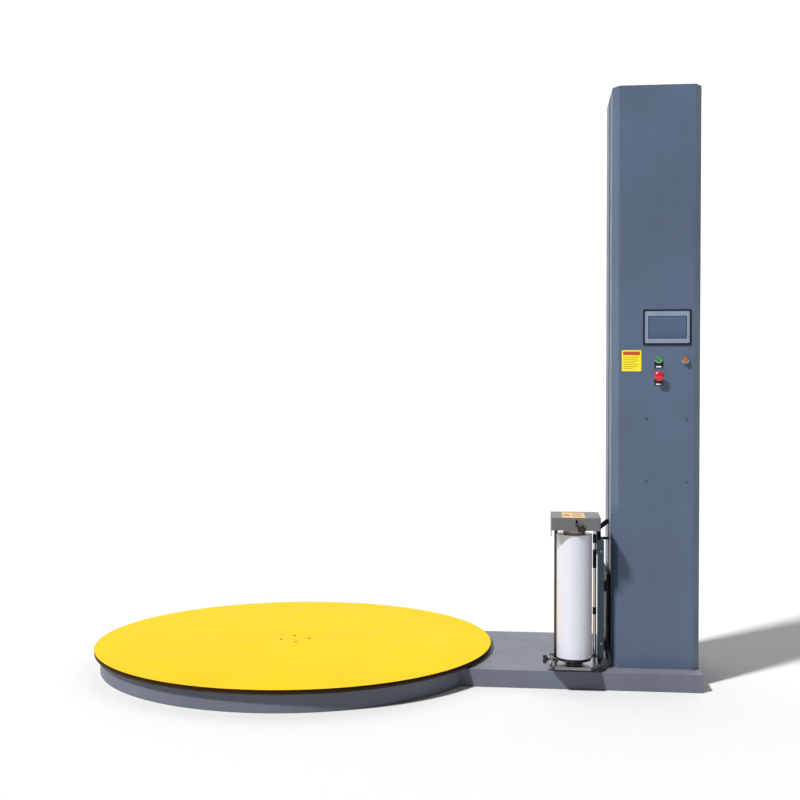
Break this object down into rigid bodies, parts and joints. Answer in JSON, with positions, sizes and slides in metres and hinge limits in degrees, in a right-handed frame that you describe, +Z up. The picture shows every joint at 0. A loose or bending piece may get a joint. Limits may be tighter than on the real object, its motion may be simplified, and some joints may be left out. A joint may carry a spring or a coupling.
{
  "type": "turntable pallet wrapper",
  "caption": "Round turntable on a low base, joined by a flat beam to a boxed mast with a touch panel; a film carriage rides up the mast's side holding a roll of stretch film.",
  "frame": {"origin": "on the floor, on the turntable's axis", "axes": "+Z up along the turntable's axis, +X from the turntable to the mast, -Y the operator's side with the controls"},
  "size_m": [2.4648, 1.6498, 2.315],
  "materials": {
    "mast_paint": "satin powder coat",
    "beam_paint": "satin powder coat",
    "frame_paint": "satin paint",
    "table_yellow": "gloss paint",
    "rim_paint": "dark paint",
    "head_paint": "fine textured powder coat",
    "black_paint": "satin paint",
    "motor_paint": "cast surface, painted",
    "bright_steel": "brushed",
    "plated_steel": "zinc plated",
    "chain_steel": "oiled",
    "chrome": "polished",
    "rubber": "matte",
    "nylon": "matte",
    "black_plastic": "fine textured",
    "wheel_plastic": "matte",
    "hmi_plastic": "matte",
    "module_plastic": "matte",
    "screen_glass": "glossy, anti-glare",
    "green_plastic": "glossy",
    "red_plastic": "glossy",
    "amber_lens": "glossy",
    "film": "glossy wound film",
    "cardboard": "matte"
  },
  "bodies": {
    "base": {"floor_plate": "beam_paint", "base_skirt": "beam_paint", "frame_ribs": "frame_paint", "roller_brackets": "plated_steel", "centre_spindle": "bright_steel", "beam_front_channel": "beam_paint", "beam_rear_channel": "beam_paint", "beam_cover": "beam_paint", "beam_cover_screws": "plated_steel", "mast_base_plate": "beam_paint", "table_gearmotor": "motor_paint", "table_drive_chain": "chain_steel", "mast_front_panel": "mast_paint", "mast_left_cheeks": "mast_paint", "mast_right_panel": "mast_paint", "mast_rear_panels": "mast_paint", "mast_top_cap": "mast_paint", "guide_rails": "bright_steel", "door_hinge_pins": "black_paint", "lift_gearmotor": "motor_paint", "lift_chain": "chain_steel", "control_modules": "module_plastic", "hmi_bezel": "hmi_plastic", "hmi_screen": "screen_glass", "button_collars": "chrome", "pilot_lamp": "amber_lens"},
    "turntable": {"turntable_plate": "table_yellow", "turntable_rim": "rim_paint", "turntable_hub": "frame_paint", "turntable_sprocket": "chain_steel", "table_bolts": "plated_steel"},
    "table_drive": {"table_drive_sprocket": "chain_steel"},
    "carriage": {"carriage_slider": "frame_paint", "guide_shoes": "nylon", "trolley_bracket": "black_paint", "carriage_column": "mast_paint", "carriage_tray": "bright_steel", "head_housing": "head_paint", "stay_post": "chrome"},
    "lift_drive": {"lift_drive_sprocket": "chain_steel"},
    "lift_idler": {"lift_idler_sprocket": "chain_steel"},
    "film_roll": {"film_core": "cardboard", "film_web": "film", "lower_spigot": "black_plastic"},
    "spigot_slide": {"spigot_slide": "black_paint"},
    "upper_spigot": {"upper_spigot": "black_plastic"},
    "tension_roller": {"tension_roller": "chrome", "tension_rings": "rubber"},
    "lock_knob": {"lock_knob": "black_plastic"},
    "brake_knob": {"brake_knob": "black_plastic"},
    "start_button": {"start_button": "green_plastic"},
    "stop_button": {"stop_button": "red_plastic"},
    "rear_door": {"rear_door": "mast_paint"},
    "door_latch": {"door_latch": "black_plastic"},
    "support_roller_1": {"support_roller_1": "wheel_plastic"},
    "support_roller_2": {"support_roller_2": "wheel_plastic"},
    "support_roller_3": {"support_roller_3": "wheel_plastic"},
    "support_roller_4": {"support_roller_4": "wheel_plastic"},
    "support_roller_5": {"support_roller_5": "wheel_plastic"},
    "support_roller_6": {"support_roller_6": "wheel_plastic"}
  },
  "joints": [
    {"name": "table_spin", "type": "hinge", "parent": "base", "child": "turntable", "pos_m": [0, 0, 0.085], "axis": [0, 0, 1], "continuous": true},
    {"name": "roller_spin_1", "type": "hinge", "parent": "base", "child": "support_roller_1", "pos_m": [0.55426, 0.32, 0.0537], "axis": [0.866, 0.5, 0], "continuous": true},
    {"name": "roller_spin_2", "type": "hinge", "parent": "base", "child": "support_roller_2", "pos_m": [0, 0.64, 0.0537], "axis": [0, 1, 0], "continuous": true},
    {"name": "roller_spin_3", "type": "hinge", "parent": "base", "child": "support_roller_3", "pos_m": [-0.55426, 0.32, 0.0537], "axis": [-0.866, 0.5, 0], "continuous": true},
    {"name": "roller_spin_4", "type": "hinge", "parent": "base", "child": "support_roller_4", "pos_m": [-0.55426, -0.32, 0.0537], "axis": [-0.866, -0.5, 0], "continuous": true},
    {"name": "roller_spin_5", "type": "hinge", "parent": "base", "child": "support_roller_5", "pos_m": [0, -0.64, 0.0537], "axis": [0, -1, 0], "continuous": true},
    {"name": "roller_spin_6", "type": "hinge", "parent": "base", "child": "support_roller_6", "pos_m": [0.55426, -0.32, 0.0537], "axis": [0.866, -0.5, 0], "continuous": true},
    {"name": "drive_spin", "type": "hinge", "parent": "base", "child": "table_drive", "pos_m": [1.469, 0, 0.04], "axis": [0, 0, 1], "continuous": true},
    {"name": "carriage_lift", "type": "slide", "parent": "base", "child": "carriage", "axis": [0, 0, 1], "range_m": [0, 1.55]},
    {"name": "lift_drive_spin", "type": "hinge", "parent": "base", "child": "lift_drive", "pos_m": [1.3443, -0.06046, 2.25], "axis": [1, 0, 0], "continuous": true},
    {"name": "lift_idler_spin", "type": "hinge", "parent": "base", "child": "lift_idler", "pos_m": [1.3443, -0.06046, 0.118], "axis": [1, 0, 0], "continuous": true},
    {"name": "film_spin", "type": "hinge", "parent": "carriage", "child": "film_roll", "pos_m": [1.157, -0.32, 0.35], "axis": [0, 0, 1], "continuous": true},
    {"name": "spigot_lift", "type": "slide", "parent": "carriage", "child": "spigot_slide", "axis": [0, 0, 1], "range_m": [0, 0.014]},
    {"name": "upper_spigot_spin", "type": "hinge", "parent": "spigot_slide", "child": "upper_spigot", "pos_m": [1.157, -0.32, 0.61], "axis": [0, 0, 1], "continuous": true},
    {"name": "tension_roller_spin", "type": "hinge", "parent": "carriage", "child": "tension_roller", "pos_m": [1.2385, -0.228, 0.35], "axis": [0, 0, 1], "continuous": true},
    {"name": "lock_knob_turn", "type": "hinge", "parent": "carriage", "child": "lock_knob", "pos_m": [1.18, -0.41, 0.624], "axis": [0, -1, 0], "range_deg": [0, 360]},
    {"name": "brake_knob_turn", "type": "hinge", "parent": "carriage", "child": "brake_knob", "pos_m": [1.052, -0.35, 0.114], "axis": [-1, 0, 0], "range_deg": [-180, 180]},
    {"name": "start_press", "type": "slide", "parent": "base", "child": "start_button", "axis": [0, 1, 0], "range_m": [0, 0.004], "stiffness_N_per_m": 300},
    {"name": "stop_press", "type": "slide", "parent": "base", "child": "stop_button", "axis": [0, 1, 0], "range_m": [0, 0.005], "stiffness_N_per_m": 400},
    {"name": "door_hinge", "type": "hinge", "parent": "base", "child": "rear_door", "pos_m": [1.631, 0.1255, 0.8], "axis": [0, 0, -1], "range_deg": [0, 110]},
    {"name": "latch_turn", "type": "hinge", "parent": "rear_door", "child": "door_latch", "pos_m": [1.343, 0.119, 0.8], "axis": [0, 1, 0], "range_deg": [0, 90]}
  ],
  "couplings": [
    {"joint": "roller_spin_1", "follows": "table_spin", "ratio": -24.615},
    {"joint": "roller_spin_2", "follows": "table_spin", "ratio": -24.615},
    {"joint": "roller_spin_3", "follows": "table_spin", "ratio": -24.615},
    {"joint": "roller_spin_4", "follows": "table_spin", "ratio": -24.615},
    {"joint": "roller_spin_5", "follows": "table_spin", "ratio": -24.615},
    {"joint": "roller_spin_6", "follows": "table_spin", "ratio": -24.615},
    {"joint": "drive_spin", "follows": "table_spin", "ratio": 5},
    {"joint": "lift_drive_spin", "follows": "carriage_lift", "rad_per_m": -40.759},
    {"joint": "lift_idler_spin", "follows": "carriage_lift", "rad_per_m": -40.759},
    {"joint": "upper_spigot_spin", "follows": "film_spin", "ratio": 1}
  ]
}
